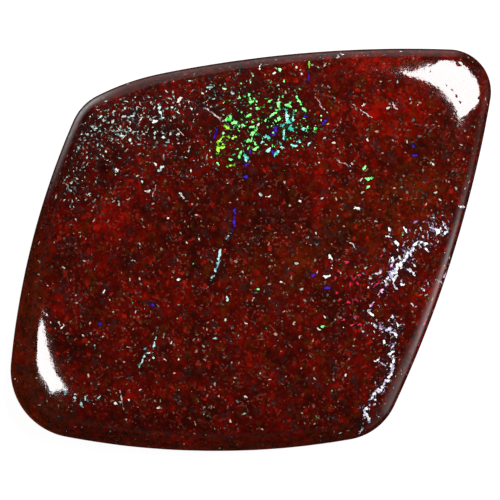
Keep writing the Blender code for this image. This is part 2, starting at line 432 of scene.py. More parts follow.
# Between which values of its noise each change of the stone sets in, and the share that it then covers
BROWN_WANDER, CALM_BROWN, BROWN_EDGE = 1.6, 0.6, (0.1, 1.0)
GREY_EDGE, TAN_EDGE, TINGE_SHARE = (0.58, 0.70), (0.42, 0.30), 0.55
DARK_EDGE, DARK_SHARE = (0.37, 0.31), 0.65
LIGHT_EDGE, LIGHT_SHARE = (0.62, 0.69), 0.6
SOOT_EDGE, SOOT_SHARE = (0.56, 0.68), 0.45
SOOT_MOST, SOOT_GAIN = 0.9, 0.14
COLD_EDGE = (0.56, 0.60)
SPARKLE_SHARE = 0.4
GROUND_GRAIN = 0.3

# How many flecks of each kind there are, as a share of their cells, and how strongly they cover. Grains
# drift between crowds and gaps, and where the stone is calm there are fewer of everything.
CALM_QUIET = 0.72
FEWEST_GRAINS, DRIFT_EDGE = 0.22, (0.42, 0.62)
PORE_PRESENCE, PORE_SHARE = 0.4, 0.7
FLASH_PRESENCE, RED_FLASHES, FLASH_SHARE = 0.20, 0.22, 0.85
GRAIN_PRESENCE, GRAIN_SHARE, GRAIN_SHADE_SHARE = 0.64, 0.9, 0.80
MAGENTA_PRESENCE = 0.42
DOT_PRESENCE, DOT_SHADE_SHARE = 0.34, 0.95

# The tone of the ironstone: what its patches, mottles, finest grain and zones add to it, and the colours
# that it then runs through
PATCH_TONE, MOTTLE_TONE, FINE_TONE, BASE_TONE = 0.62, 0.56, 0.08, -0.145
# The calm zone's tone raises the rim at the lower left: painted light that makes up for the shade of the
# steep rim
ZONE_TONES = {"red": 0.20, "dark": -0.17, "calm_and_painted_light": 0.12}
RED_STONE = (
    (0.24, (0.009, 0.0010, 0.0006)),
    (0.38, (0.025, 0.0012, 0.0004)),
    (0.50, (0.045, 0.0013, 0.0003)),
    (0.63, (0.078, 0.0014, 0.0002)),
    (0.80, (0.170, 0.0020, 0.0004)),
)
BROWN_STONE = (
    (0.24, (0.010, 0.0020, 0.0006)),
    (0.50, (0.045, 0.0042, 0.0004)),
    (0.80, (0.120, 0.0075, 0.0006)),
)
GREY_STONE = (0.015, 0.0075, 0.0070)
TAN_STONE = (0.040, 0.0085, 0.0006)
DARK_SPECK = (0.008, 0.0018, 0.0010)
LIGHT_SPECK = (0.120, 0.030, 0.020)
PORE_COLOUR = (0.008, 0.0025, 0.002)
FLASHES = ((0.0, (0.26, 0.006, 0.002)), (1.0, (0.10, 0.003, 0.001)))
GRAIN_SHADE = (0.007, 0.0015, 0.0008)
WARM_GRAINS = (
    (0.0, (0.50, 0.36, 0.28)),
    (0.08, (0.26, 0.14, 0.10)),
    (0.30, (0.160, 0.058, 0.040)),
    (0.65, (0.130, 0.024, 0.015)),
    (1.0, (0.100, 0.006, 0.004)),
)
COLD_GRAINS = (
    (0.0, (0.44, 0.45, 0.40)),
    (0.08, (0.15, 0.16, 0.135)),
    (0.40, (0.055, 0.050, 0.040)),
    (1.0, (0.028, 0.018, 0.018)),
)
SOOT = (0.008, 0.004, 0.004)
MAGENTA = (0.42, 0.015, 0.035)
DOT_SHADE = (0.004, 0.0015, 0.0010)
DOTS = ((0.0, (0.16, 0.09, 0.07)), (0.5, (0.34, 0.28, 0.24)), (1.0, (0.62, 0.60, 0.52)))
# A painted glow of light through the thin rim at the lower left, laid as an orange rust colour on its
# lowest edge
EDGE_GLOW = (0.140, 0.020, 0.004)
EDGE_GLOW_SHARE = 0.7

# The ground back's stone, and the rust in its hollows
GROUND_STONE = (
    (0.30, (0.030, 0.012, 0.009)),
    (0.50, (0.075, 0.022, 0.013)),
    (0.70, (0.140, 0.045, 0.024)),
)
HOLLOW_RUST = (
    (0.30, (0.060, 0.020, 0.009)),
    (0.55, (0.190, 0.080, 0.030)),
    (0.75, (0.330, 0.180, 0.080)),
)

# The turn of the solid pattern, where the back's flat pattern is read so that it isn't the face's, and
# how far the flat pattern and the placed marks are bent
PATTERN_TIP = (0.61, 0.47, 0.83)
BACK_PATTERN_SHIFT = 60.0
BEND_SIZE = 0.33
PATTERN_BEND = (0.36, 0.36, 0.0)
MARK_BEND = (0.28, 0.28, 0.0)

# Gloss: the roughness of the polish and of the ground back, what wear and hollows add to them, and the
# heights of the finest relief
REFRACTIVE_INDEX = 1.56
POLISH, WEAR, WEAR_EDGE = 0.06, 0.04, (0.45, 0.8)
GROUND_ROUGHNESS, HOLLOW_ROUGHNESS = 0.42, 0.35
FINE_BUMP, GROUND_BUMP, POLISH_BUMP = 0.0022, 0.012, 0.0038


def from_photo(pixel_x, pixel_y):
    """A place on the stone, in millimetres, from where it shows in the photograph."""
    return (pixel_x - MIDDLE_PIXEL[0]) * PIXEL, (MIDDLE_PIXEL[1] - pixel_y) * PIXEL


def side_centre(start, end):
    """The centre of the bowed side that leaves one corner's arc and meets the next without a kink."""
    first, last = Vector((start.x, start.y)), Vector((end.x, end.y))
    reach_first, reach_last = start.bow_radius - start.radius, start.bow_radius - end.radius
    along = last - first
    foot = (along.length_squared + reach_first**2 - reach_last**2) / (2 * along.length)
    height = math.sqrt(reach_first**2 - foot**2)
    direction = along.normalized()
    return first + direction * foot + Vector((-direction.y, direction.x)) * height


def arc(centre, radius, start, end):
    """Points of a counterclockwise arc between two points' directions from its centre."""
    first = math.atan2(start.y, start.x)
    sweep = (math.atan2(end.y, end.x) - first) % (2 * math.pi)
    turn = first + sweep * np.arange(ARC_STEPS) / ARC_STEPS
    return np.column_stack((centre[0] + radius * np.cos(turn), centre[1] + radius * np.sin(turn)))


def fine_outline():
    """The closed outline as many short steps."""
    corners = list(CORNERS.values())
    sides = [side_centre(c, corners[(i + 1) % len(corners)]) for i, c in enumerate(corners)]
    points = []
    for i, corner in enumerate(corners):
        following = corners[(i + 1) % len(corners)]
        middle, next_middle = Vector((corner.x, corner.y)), Vector((following.x, following.y))
        points.append(arc(middle, corner.radius, middle - sides[i - 1], middle - sides[i]))
        points.append(arc(sides[i], corner.bow_radius, middle - sides[i], next_middle - sides[i]))
    return np.concatenate(points)


def evenly_spaced(points, count):
    """Points at equal steps along a closed line, and the inward direction at each."""
    closed = np.vstack((points, points[:1]))
    lengths = np.concatenate(([0.0], np.cumsum(np.hypot(*np.diff(closed, axis=0).T))))
    at = lengths[-1] * np.arange(count) / count
    spaced = np.column_stack([np.interp(at, lengths, closed[:, k]) for k in (0, 1)])
    along = np.roll(spaced, -1, 0) - np.roll(spaced, 1, 0)
    along /= np.hypot(*along.T)[:, None]
    return spaced, np.column_stack((-along[:, 1], along[:, 0]))


def direction_of(points):
    offset = points - CENTRE
    return np.arctan2(offset[:, 1], offset[:, 0])


def rim_share(outline, points):
    """How far out each point lies: 0 at the centre and 1 on the outline."""
    angles = direction_of(outline)
    order = np.argsort(angles)
    reach = np.hypot(*(outline - CENTRE).T)[order]
    rim = np.interp(direction_of(points), angles[order], reach, period=2 * math.pi)
    return np.hypot(*(points - CENTRE).T) / rim


def dome_height(outline, points):
    """The rise of the face above its shoulder: flat in the middle, rolling off towards the rim."""
    share = rim_share(outline, points)
    return DOME_RISE * (1 - share**DOME_POWER) + CROWN_RISE * (1 - share**2)


def corner_droop(points):
    """How far the face falls away, ever faster, towards the two corners that are polished down."""
    fall = np.zeros(len(points))
    for direction, start, rate in DROOPS:
        reach = (points - CENTRE) @ np.array((math.cos(direction), math.sin(direction)))
        fall += rate * np.maximum(0, reach - start)**2
    return fall


def shoulder_width(points):
    """The rounded shoulder is tight at the upper right and broad at the lower left."""
    broad = 0.5 - 0.5 * np.cos(direction_of(points) - TIGHT_DIRECTION)
    return SHOULDER_WIDTH_TIGHT + (SHOULDER_WIDTH_BROAD - SHOULDER_WIDTH_TIGHT) * broad


def edge_profile():
    """Inset and height of each ring below the girdle, from the rounded edge of the back up."""
    run, rise = BACK_INSET - GIRDLE_TUCK, BEVEL_HEIGHT
    slope = math.hypot(run, rise)
    profile = []
    for i in range(EDGE_STEPS + 1):
        share = i / EDGE_STEPS
        flat, up = EDGE_ROUNDING * (1 - share) ** 2, EDGE_ROUNDING * share**2
        profile.append((BACK_INSET + flat - up * run / slope, up * rise / slope))
    start = profile[-1]
    for i in range(1, BEVEL_STEPS + 1):
        share = i / BEVEL_STEPS
        profile.append((
            start[0] + (GIRDLE_TUCK - start[0]) * share,
            start[1] + (BEVEL_HEIGHT - start[1]) * share,
        ))
    for i in range(1, GIRDLE_STEPS):
        turn = math.radians(90) * (1 - i / GIRDLE_STEPS)
        inset = GIRDLE_TUCK * (1 - math.cos(turn))
        profile.append((inset, GIRDLE_HEIGHT - (GIRDLE_HEIGHT - BEVEL_HEIGHT) * math.sin(turn)))
    return profile


def rim_rings(outline):
    """Closed rings of points from the edge of the back, up round the rim to the face."""
    rim, inward = evenly_spaced(outline, RIM_POINTS)
    rings = []
    for inset, height in edge_profile():
        rings.append(np.column_stack((rim + inward * inset, np.full(RIM_POINTS, height))))
    width = shoulder_width(rim)[:, None]
    for i in range(SHOULDER_STEPS + 1):
        turn = math.radians(90) * i / SHOULDER_STEPS
        at = rim + inward * width * (1 - math.cos(turn))
        rise = SHOULDER_RISE - corner_droop(at)
        height = GIRDLE_HEIGHT + rise * math.sin(turn) + dome_height(outline, at)
        rings.append(np.column_stack((at, height)))
    return rings, inward


def filled(ring, spacing):
    """Even triangles that fill a closed ring of flat points: the new points inside, and the faces."""
    low, high = ring.min(0), ring.max(0)
    rows = np.arange(low[1], high[1], spacing * math.sqrt(0.75))
    gap = spacing * RING_GAP
    inside = []
    following = np.roll(ring, -1, 0)
    for k, y in enumerate(rows):
        crosses = (ring[:, 1] <= y) != (following[:, 1] <= y)
        a, b = ring[crosses], following[crosses]
        at = np.sort(a[:, 0] + (y - a[:, 1]) * (b[:, 0] - a[:, 0]) / (b[:, 1] - a[:, 1]))
        if len(at) == 2:
            start = math.ceil((at[0] + gap) / spacing) * spacing + (k % 2) * spacing / 2
            row = np.arange(start, at[1] - gap, spacing)
            inside.append(np.column_stack((row, np.full(len(row), y))))
    inside = np.concatenate(inside)
    points = [Vector(p) for p in ring] + [Vector(p) for p in inside]
    border = [(k, (k + 1) % len(ring)) for k in range(len(ring))]
    made = delaunay_2d_cdt(points, border, [], 1, SAME_POINT, True)
    originals = [ids[0] for ids in made[3]]
    faces = [[originals[v] for v in face] for face in made[2]]
    return inside, faces


def unrolled_rings(rings, inward):
    """Flat places for the rings' points, as if the rim were unrolled outwards from the face."""
    flat = [rings[-1][:, :2]]
    for upper, lower in zip(rings[::-1], rings[-2::-1]):
        step = np.linalg.norm(upper - lower, axis=1)[:, None]
        flat.append(flat[-1] - inward * step)
    return flat[::-1]


def stone_skin():
    """Points, faces and flat pattern places of the whole skin."""
    outline = fine_outline()
    rings, inward = rim_rings(outline)
    strips = []
    for k in range(len(rings) - 1):
        low = k * RIM_POINTS + np.arange(RIM_POINTS)
        ahead = k * RIM_POINTS + (np.arange(RIM_POINTS) + 1) % RIM_POINTS
        strips.append(np.column_stack((low, ahead, ahead + RIM_POINTS, low + RIM_POINTS)))
    faces = np.concatenate(strips).tolist()
    points = np.concatenate(rings)
    pattern = np.concatenate(unrolled_rings(rings, inward))

    top_ring = (len(rings) - 1) * RIM_POINTS
    inside, triangles = filled(rings[-1][:, :2], FACE_SPACING)
    first_new = len(points)
    height = GIRDLE_HEIGHT + SHOULDER_RISE + dome_height(outline, inside) - corner_droop(inside)
    points = np.vstack((points, np.column_stack((inside, height))))
    pattern = np.vstack((pattern, inside))
    faces += [
        [v + top_ring if v < RIM_POINTS else v - RIM_POINTS + first_new for v in face]
        for face in triangles
    ]

    inside, triangles = filled(rings[0][:, :2], BACK_SPACING)
    first_new = len(points)
    points = np.vstack((points, np.column_stack((inside, np.zeros(len(inside))))))
    pattern = np.vstack((pattern, inside))
    faces += [
        [v if v < RIM_POINTS else v - RIM_POINTS + first_new for v in reversed(face)]
        for face in triangles
    ]
    return points, faces, pattern


def soft_step(low, high, value):
    """0 below low, 1 above high and smooth between them."""
    share = np.clip((value - low) / (high - low), 0, 1)
    return share * share * (3 - 2 * share)


def rough_field(points, wavelength, seed, detail=1):
    """Smooth noise between about -1 and 1 at each point."""
    shift = Vector((seed * 7.3, seed * 3.1, seed * 5.7))
    return np.array([
        noise.fractal(Vector(p) / wavelength + shift, 1.0, 2.0, detail) for p in points
    ])


def zone(points, ellipses):
    """How strongly soft-edged ellipses cover each point."""
    covered = np.zeros(len(points))
    for pixel_x, pixel_y, reach_x, reach_y, turn, strength in ellipses:
        offset = points[:, :2] - np.array(from_photo(pixel_x, pixel_y))
        cosine, sine = math.cos(math.radians(turn)), math.sin(math.radians(turn))
        along = (offset[:, 0] * cosine + offset[:, 1] * sine) / (reach_x * PIXEL)
        across = (offset[:, 1] * cosine - offset[:, 0] * sine) / (reach_y * PIXEL)
        covered += strength * np.exp(-ZONE_FALLOFF * (along**2 + across**2))
    return covered


def pits(points):
    """How deep small polishing pits sink each point of the face."""
    draw = random.Random(PIT_SEED)
    found = [(np.array(from_photo(x, y)), radius, deep) for x, y, radius, deep in PLACED_PITS]
    for _ in range(PIT_COUNT):
        angle, share = draw.uniform(0, 2 * math.pi), math.sqrt(draw.uniform(0, 1))
        spot = CENTRE + share * (PIT_REACH * np.array((math.cos(angle), math.sin(angle))))
        found.append((spot, draw.uniform(*PIT_RADIUS), draw.uniform(*PIT_DEPTH)))
    depth = np.zeros(len(points))
    for spot, radius, deep in found:
        away = np.hypot(*(points[:, :2] - spot).T) / radius
        depth += deep * (1 - soft_step(PIT_FLOOR, 1.0, away))
    return depth


def ground_share(points):
    """1 on the ground back and its bevel, 0 on the polished girdle and face."""
    return 1 - soft_step(*GROUND_EDGE, points[:, 2])


def hollow_share(points, is_back):
    """1 in the natural hollows of the back."""
    lumps = rough_field(points, HOLLOW_LENGTH, 5, 3) + HOLLOW_PULL * zone(points, BACK_HOLLOWS)
    return soft_step(*HOLLOW_EDGE, lumps) * is_back


def relief(points, normals, hollow):
    """How far each point moves out along its normal: the swells, ripples and pits of the face, and the
    saw lines and hollows of the back."""
    is_back = soft_step(*DOWN_FACING, -normals[:, 2]) * (points[:, 2] < BEVEL_HEIGHT / 2)
    faces_up = soft_step(*UP_FACING, normals[:, 2])
    swell = SWELL_DEPTH * rough_field(points, SWELL_LENGTH, 1)
    ripple = RIPPLE_DEPTH * rough_field(points, RIPPLE_LENGTH, 2, 2)
    line = np.hypot(*(points[:, :2] - SAW_CENTRE).T) / SAW_PITCH
    waver = SAW_WAVER * rough_field(points, SAW_WAVER_LENGTH, 3)
    saw = SAW_DEPTH * (0.5 + 0.5 * np.cos(2 * math.pi * line + waver))
    lumps = HOLLOW_LUMPS * rough_field(points, HOLLOW_LUMP_LENGTH, 4, 3)
    floor = HOLLOW_DEPTH * (1 - HOLLOW_LUMPS + lumps)
    return (
        swell * (RIM_SWELL + (1 - RIM_SWELL) * faces_up) * (1 - is_back)
        + ripple * (1 - is_back)
        - pits(points) * faces_up
        - is_back * (saw * (1 - hollow) + floor * hollow)
    )


def pattern_places(points, pattern):
    """Where the flat pattern is read at each point."""
    flat = np.column_stack((pattern, np.zeros(len(pattern))))
    flat[:, 0] += BACK_PATTERN_SHIFT * ground_share(points)
    return flat


def pattern_zones(points, hollow):
    """How strongly each zone of the pattern covers each point."""
    upward = soft_step(BEVEL_HEIGHT, GIRDLE_HEIGHT, points[:, 2])
    out = rim_share(fine_outline(), points[:, :2])
    inner = 1 - soft_step(*OPAL_EDGE, out)
    values = {name: zone(points, ellipses) * upward for name, ellipses in ZONES.items()}
    for opal in OPALS:
        values[opal.zone] = values[opal.zone] * inner
    towards = np.cos(direction_of(points[:, :2]) - CALM_DIRECTION)
    # The calm zone: fewer flecks and browner stone, and a raised tone there that is painted light
    values["calm_and_painted_light"] = soft_step(*CALM_SPREAD, towards) * soft_step(*CALM_EDGE, out)
    # A painted orange glow of light through the thin lower-left rim
    values["rust_and_rim_glow"] = soft_step(*RIM_GLOW_SPREAD, towards) * soft_step(RIM_GLOW_TOP, GIRDLE_HEIGHT, points[:, 2])
    values["ground"] = ground_share(points)
    values["hollow"] = hollow
    return values


def skin_mesh():
    """The stone's whole skin with its relief, and the attributes that its material reads."""
    points, faces, pattern = stone_skin()
    mesh = bpy.data.meshes.new("polished_stone")
    mesh.from_pydata(points.tolist(), [], faces)
    mesh.update()
    normals = np.zeros(len(points) * 3, np.float32)
    mesh.vertex_normals.foreach_get("vector", normals)
    normals = normals.reshape(-1, 3)
    is_back = (points[:, 2] < BACK_HEIGHT) * 1.0
    hollow = hollow_share(points, is_back)
    placed = points + normals * relief(points, normals, hollow)[:, None]
    mesh.vertices.foreach_set("co", (placed * MM).astype(np.float32).ravel())
    mesh.shade_smooth()
    unrolled = mesh.attributes.new("unrolled", "FLOAT_VECTOR", "POINT")
    unrolled.data.foreach_set("vector", pattern_places(points, pattern).astype(np.float32).ravel())
    for name, value in pattern_zones(points, hollow).items():
        attribute = mesh.attributes.new(name, "FLOAT", "POINT")
        attribute.data.foreach_set("value", value.astype(np.float32))
    mesh.update()
    return mesh


class Graph:
    """A material's nodes, made and joined by short calls, so that a pattern reads like a formula. Fine is
    its finest noise, which frays the edges of flecks and marks."""

    def __init__(self, tree):
        self.tree = tree
        self.fine = None

    def node(self, kind, settings=None, **inputs):
        made = self.tree.nodes.new("ShaderNode" + kind)
        for name, value in (settings or {}).items():
            setattr(made, name, value)
        for name, value in inputs.items():
            self.feed(made.inputs[name.replace("_", " ")], value)
        return made

    def feed(self, socket, value):
        if isinstance(value, bpy.types.NodeSocket):
            self.tree.links.new(value, socket)
        else:
            socket.default_value = value

    def math(self, operation, a, b=0.0, clamp=False):
        made = self.node("Math", {"operation": operation, "use_clamp": clamp})
        self.feed(made.inputs[0], a)
        self.feed(made.inputs[1], b)
        return made.outputs[0]

    def add(self, a, b):
        return self.math("ADD", a, b)

    def times(self, a, b):
        return self.math("MULTIPLY", a, b)

    def smaller(self, a, b):
        return self.math("MINIMUM", a, b)

    def larger(self, a, b):
        return self.math("MAXIMUM", a, b)

    def inverse(self, a):
        return self.math("SUBTRACT", 1.0, a)

    def vector(self, operation, a, b=None):
        made = self.node("VectorMath", {"operation": operation})
        self.feed(made.inputs[0], a)
        if b is not None:
            self.feed(made.inputs[1], b)
        return made.outputs["Value" if operation in ("LENGTH", "DOT_PRODUCT") else "Vector"]

    def scaled(self, a, factor):
        made = self.node("VectorMath", {"operation": "SCALE"})
        self.feed(made.inputs[0], a)
        self.feed(made.inputs["Scale"], factor)
        return made.outputs["Vector"]

    def step(self, value, low, high):
        """0 at low, 1 at high and smooth between them. Low may be the larger."""
        made = self.node("MapRange", {"interpolation_type": "SMOOTHSTEP"}, Value=value)
        made.inputs["From Min"].default_value = low
        made.inputs["From Max"].default_value = high
        return made.outputs["Result"]
    def mix(self, share, a, b):
        """Colour a where share is 0 and colour b where it is 1."""
        made = self.node("Mix", {"data_type": "RGBA"})
        self.feed(made.inputs["Factor"], share)
        for socket, value in zip([s for s in made.inputs if s.type == "RGBA"], (a, b)):
            self.feed(socket, value if isinstance(value, bpy.types.NodeSocket) else (*value, 1))
        return [s for s in made.outputs if s.type == "RGBA"][0]

    def noise(self, where, kind):
        """Smooth noise around 0.5."""
        if kind.shift:
            where = self.vector("ADD", where, kind.shift)
        made = self.node(
            "TexNoise", Vector=where, Scale=1.0 / kind.size, Detail=kind.detail, Roughness=kind.roughness,
        )
        return made.outputs["Fac"]

    def attribute(self, name, output="Fac"):
        return self.node("Attribute", {"attribute_name": name}).outputs[output]

    def ramp(self, value, stops):
        """A colour that runs through stops, each a position and a colour."""
        made = self.node("ValToRGB", Fac=value)
        elements = made.color_ramp.elements
        for index, (position, colour) in ((0, stops[0]), (1, stops[-1])):
            elements[index].position, elements[index].color = position, (*colour, 1)
        for position, colour in stops[1:-1]:
            elements.new(position).color = (*colour, 1)
        return made.outputs["Color"]

    def frayed(self, away, ragged):
        """A distance that the finest noise makes uneven."""
        return self.add(away, self.times(self.add(self.fine, -0.5), ragged))

    def flecks(self, where, kind, presence):
        """Scattered elongated flecks, one at most in each cell: their cover, the cover of a wider halo,
        and three random numbers for each fleck."""
        moved = self.vector("ADD", where, (kind.seed * 13.7, kind.seed * 5.3, 0.0))
        cells = self.node(
            "TexVoronoi", {"voronoi_dimensions": "2D"}, Vector=moved, Scale=1.0 / kind.cell,
        )
        offset = self.vector("SUBTRACT", moved, cells.outputs["Position"])
        chance = self.node("SeparateColor", Color=cells.outputs["Color"])
        turn = self.times(chance.outputs[0], 2 * math.pi)
        turned = self.node("VectorRotate", {"rotation_type": "Z_AXIS"}, Vector=offset, Angle=turn)
        reach = (1.0 / kind.half_length, 1.0 / kind.half_width, 0.0)
        away = self.vector("LENGTH", self.vector("MULTIPLY", turned.outputs[0], reach))
        size = self.add(FLECK_SMALLEST, self.times(chance.outputs[2], FLECK_SPREAD))
        away = self.frayed(self.math("DIVIDE", away, size), kind.ragged)
        there = self.math("LESS_THAN", chance.outputs[1], presence)
        cover = self.times(self.step(away, 1.0 + kind.edge, 1.0 - kind.edge), there)
        halo = self.times(self.step(away, *FLECK_HALO), there)
        strength = self.math("DIVIDE", chance.outputs[1], presence, clamp=True)
        return cover, halo, (chance.outputs[0], strength, chance.outputs[2])

    def threads(self, where, kind, presence):
        """Thin curved threads, broken into short pieces: their cover and the cover of a wider halo."""
        shift = (kind.seed * 3.7, kind.seed * 9.1, kind.seed * 1.9)
        moved = self.vector("ADD", where, shift)
        away = self.math("ABSOLUTE", self.add(self.noise(moved, Noise(kind.size, 1.0)), -0.5))
        breaks = self.noise(moved, Noise(kind.size * THREAD_BREAKS, 1.0, shift=shift))
        level = self.add(breaks, self.times(presence, THREAD_GAIN))
        near = self.step(away, *(kind.width * share for share in THREAD_EDGE))
        cover = self.times(near, self.step(level, *THREAD_LEVEL))
        near = self.step(away, *(kind.width * share for share in THREAD_HALO))
        halo = self.times(near, self.step(level, *THREAD_HALO_LEVEL))
        return cover, halo

    def marks(self, where, table):
        """Marks that are placed one by one: their cover and the cover of a wider halo."""
        nearest = None
        for pixel_x, pixel_y, half_length, half_width, turn in table:
            centre = (*from_photo(pixel_x, pixel_y), 0.0)
            reach = (1 / (half_length * MARK_LENGTH), 1 / (half_width * MARK_WIDTH), 1.0)
            turned = self.node(
                "VectorRotate", {"rotation_type": "Z_AXIS"}, Vector=where, Center=centre,
                Angle=-math.radians(turn),
            )
            offset = self.vector("SUBTRACT", turned.outputs[0], centre)
            away = self.vector("LENGTH", self.vector("MULTIPLY", offset, reach))
            nearest = away if nearest is None else self.smaller(nearest, away)
        away = self.frayed(nearest, MARK_RAGGED)
        return self.step(away, 1.0 + MARK_EDGE, 1.0 - MARK_EDGE), self.step(away, *MARK_HALO)


def new_material(name):
    material = bpy.data.materials.new(name)
    material.use_nodes = True
    return material, Graph(material.node_tree), material.node_tree.nodes["Principled BSDF"]


def ironstone_colour(graph, solid):
    """The ironstone between the flecks: soft patches of dark red, brown and near black."""
    patches = graph.noise(solid, PATCHES)
    mottles = graph.noise(solid, MOTTLES)
    tone = graph.add(graph.times(patches, PATCH_TONE), graph.times(mottles, MOTTLE_TONE))
    tone = graph.add(tone, graph.times(graph.fine, FINE_TONE))
    tone = graph.add(tone, BASE_TONE)
    # The calm zone's part of the tone is painted light that lifts the shaded rim
    for name, change in ZONE_TONES.items():
        tone = graph.add(tone, graph.times(graph.attribute(name), change))
    red = graph.ramp(tone, RED_STONE)
    brown = graph.ramp(tone, BROWN_STONE)
    browner = graph.attribute("brown")
    wander = graph.times(graph.add(graph.noise(solid, BROWN_PATCHES), -0.5), BROWN_WANDER)
    browner = graph.add(browner, wander)
    browner = graph.add(browner, graph.times(graph.attribute("calm_and_painted_light"), CALM_BROWN))
    colour = graph.mix(graph.step(browner, *BROWN_EDGE), red, brown)
    tinge = graph.noise(solid, TINGES)
    colour = graph.mix(graph.times(graph.step(tinge, *GREY_EDGE), TINGE_SHARE), colour, GREY_STONE)
    return graph.mix(graph.times(graph.step(tinge, *TAN_EDGE), TINGE_SHARE), colour, TAN_STONE)


def speckled(graph, colour, solid, crowded):
    """The ironstone's colour with fine dark and light specks all over it."""
    specks = graph.noise(solid, SPECKS)
    dark = graph.times(graph.step(specks, *DARK_EDGE), DARK_SHARE)
    colour = graph.mix(dark, colour, DARK_SPECK)
    light = graph.times(graph.step(specks, *LIGHT_EDGE), graph.times(crowded, LIGHT_SHARE))
    return graph.mix(light, colour, LIGHT_SPECK)


def grained(graph, colour, pattern, lively, crowded):
    """The colour with the ironstone's dark pores, red flashes and grains."""
    pores, _, _ = graph.flecks(pattern, PORE, PORE_PRESENCE)
    colour = graph.mix(graph.times(pores, PORE_SHARE), colour, PORE_COLOUR)

    presence = graph.add(FLASH_PRESENCE, graph.times(graph.attribute("red"), RED_FLASHES))
    flashes, _, chance = graph.flecks(pattern, FLASH, graph.times(presence, lively))
    flash_colour = graph.ramp(chance[2], FLASHES)
    colour = graph.mix(graph.times(flashes, FLASH_SHARE), colour, flash_colour)

    grains, halo, chance = graph.flecks(pattern, GRAIN, graph.times(crowded, GRAIN_PRESENCE))
    colour = graph.mix(graph.times(halo, GRAIN_SHADE_SHARE), colour, GRAIN_SHADE)
    warm, cold = graph.ramp(chance[1], WARM_GRAINS), graph.ramp(chance[1], COLD_GRAINS)
    grain_colour = graph.mix(graph.step(chance[0], *COLD_EDGE), warm, cold)
    return graph.mix(graph.times(grains, GRAIN_SHARE), colour, grain_colour)


def sooted(graph, colour, solid):
    """The colour with soot black matrix in the zones of cool and green opal."""
    sooty = graph.smaller(graph.add(graph.attribute("cool"), graph.attribute("green")), SOOT_MOST)
    level = graph.add(graph.noise(solid, SOOT_PATCHES), graph.times(sooty, SOOT_GAIN))
    soot = graph.step(level, *SOOT_EDGE)
    return graph.mix(graph.times(soot, graph.times(sooty, SOOT_SHARE)), colour, SOOT)


def with_opal(graph, colour, opal, solid, pattern, tint):
    """The colour with one tint of fine opal on it: its threads, and then its flecks."""
    present = graph.attribute(opal.zone)
    opal_colour = graph.ramp(tint, opal.colours)
    cover, halo = graph.threads(solid, opal.thread, graph.times(present, opal.thread_presence))
    colour = graph.mix(graph.times(halo, opal.thread_shade), colour, opal.shade)
    colour = graph.mix(cover, colour, opal_colour)
    presence = graph.times(present, opal.fleck_presence)
    if opal.fleck_outside:
        presence = graph.add(presence, opal.fleck_outside)
    cover, halo, _ = graph.flecks(pattern, opal.fleck, presence)
    colour = graph.mix(graph.times(halo, opal.fleck_shade), colour, opal.shade)
    return graph.mix(cover, colour, opal_colour)


def dotted(graph, colour, pattern, lively):
    """The colour with magenta flecks in their zone and lonely pale dots all over."""
    presence = graph.times(graph.attribute("magenta"), MAGENTA_PRESENCE)
    cover, _, _ = graph.flecks(pattern, MAGENTA_FLECK, presence)
    colour = graph.mix(cover, colour, MAGENTA)
    cover, halo, chance = graph.flecks(pattern, PALE_DOT, graph.times(lively, DOT_PRESENCE))
    colour = graph.mix(graph.times(halo, DOT_SHADE_SHARE), colour, DOT_SHADE)
    return graph.mix(cover, colour, graph.ramp(chance[2], DOTS))


def face_colour(graph, solid, pattern, placed):
    """The polished face: ironstone, its grains and flashes, and the opal in its pores."""
    lively = graph.inverse(graph.times(graph.attribute("calm_and_painted_light"), CALM_QUIET))
    drift = graph.step(graph.noise(solid, DRIFT), *DRIFT_EDGE)
    crowded = graph.times(graph.add(FEWEST_GRAINS, graph.times(drift, 1 - FEWEST_GRAINS)), lively)
    colour = speckled(graph, ironstone_colour(graph, solid), solid, crowded)
    colour = grained(graph, colour, pattern, lively, crowded)

    tint = graph.noise(solid, TINTS)
    sparkle = graph.noise(solid, SPARKLES)
    tint = graph.add(graph.times(tint, 1 - SPARKLE_SHARE), graph.times(sparkle, SPARKLE_SHARE))
    colour = sooted(graph, colour, solid)
    for opal in OPALS:
        colour = with_opal(graph, colour, opal, solid, pattern, tint)
    colour = dotted(graph, colour, pattern, lively)

    for table, dim, bright in MARK_COLOURS:
        cover, halo = graph.marks(placed, table)
        colour = graph.mix(graph.times(halo, MARK_SHADE_SHARE), colour, MARK_SHADE)
        colour = graph.mix(cover, colour, graph.mix(graph.step(tint, *MARK_TINTS), dim, bright))
    # An orange painted glow of light through the thin rim at the lower left
    return graph.mix(graph.times(graph.attribute("rust_and_rim_glow"), EDGE_GLOW_SHARE), colour, EDGE_GLOW)


def ground_colour(graph, solid):
    """The ground back: the same ironstone dulled by grinding, with rusty natural hollows."""
    patches = graph.times(graph.noise(solid, GROUND_PATCHES), 1 - GROUND_GRAIN)
    stone = graph.ramp(graph.add(patches, graph.times(graph.fine, GROUND_GRAIN)), GROUND_STONE)
    rust_and_rim_glow = graph.ramp(graph.noise(solid, RUST_PATCHES), HOLLOW_RUST)
    return graph.mix(graph.attribute("hollow"), stone, rust_and_rim_glow)


def bent_places(graph, straight, solid):
    """Where the flat pattern and the placed marks are read, bent a little so that nothing is straight."""
    plain = graph.attribute("unrolled", "Vector")
    bend = graph.node("TexNoise", Vector=solid, Scale=1 / BEND_SIZE, Detail=1.0).outputs["Color"]
    bend = graph.vector("SUBTRACT", bend, (0.5, 0.5, 0.5))
    pattern = graph.vector("ADD", plain, graph.vector("MULTIPLY", bend, PATTERN_BEND))
    placed = graph.vector("MULTIPLY", straight, (1.0, 1.0, 0.0))
    placed = graph.vector("ADD", placed, graph.vector("MULTIPLY", bend, MARK_BEND))
    height = graph.node("SeparateXYZ", Vector=straight).outputs["Z"]
    low = graph.step(height, MARKS_FULL, GIRDLE_HEIGHT)
    below = graph.node("CombineXYZ", Z=graph.times(low, MARKS_FADE)).outputs[0]
    return pattern, graph.vector("ADD", placed, below)


